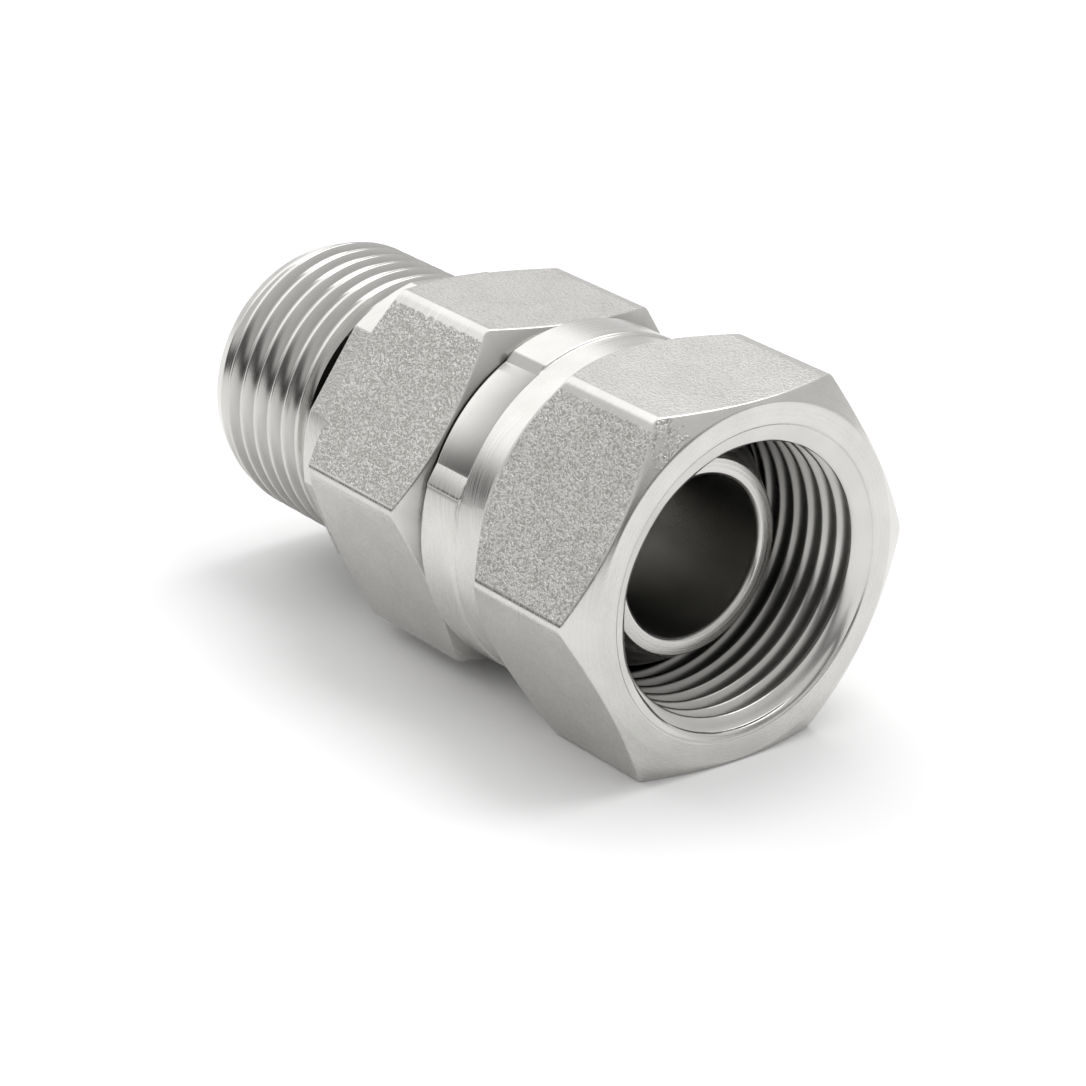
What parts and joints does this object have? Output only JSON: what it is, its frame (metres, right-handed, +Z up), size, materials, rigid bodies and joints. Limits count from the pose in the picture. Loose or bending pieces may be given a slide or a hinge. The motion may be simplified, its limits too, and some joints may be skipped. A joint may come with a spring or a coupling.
{
  "type": "straight adapter fitting",
  "caption": "Straight steel pipe adapter with a male stud thread, a spanner hexagon and a swivel nut that turns on a coned nose.",
  "frame": {"origin": "on the table, under the middle of the fitting's box, with one flat of the nut down", "axes": "+X along the flow axis towards the swivel nut's open mouth, +Z up"},
  "size_m": [0.0596, 0.0366, 0.032],
  "materials": {
    "body_steel": "stainless steel, forged flats, turned collar, bright rolled stud thread",
    "nut_steel": "stainless steel, forged flats, turned collar and lip, bright cut thread"
  },
  "bodies": {
    "adapter_body": {"adapter_body": "body_steel"},
    "swivel_nut": {"swivel_nut": "nut_steel"}
  },
  "joints": [
    {"name": "nut_swivel", "type": "hinge", "parent": "adapter_body", "child": "swivel_nut", "pos_m": [0, 0, 0.016], "axis": [1, 0, 0], "continuous": true}
  ]
}
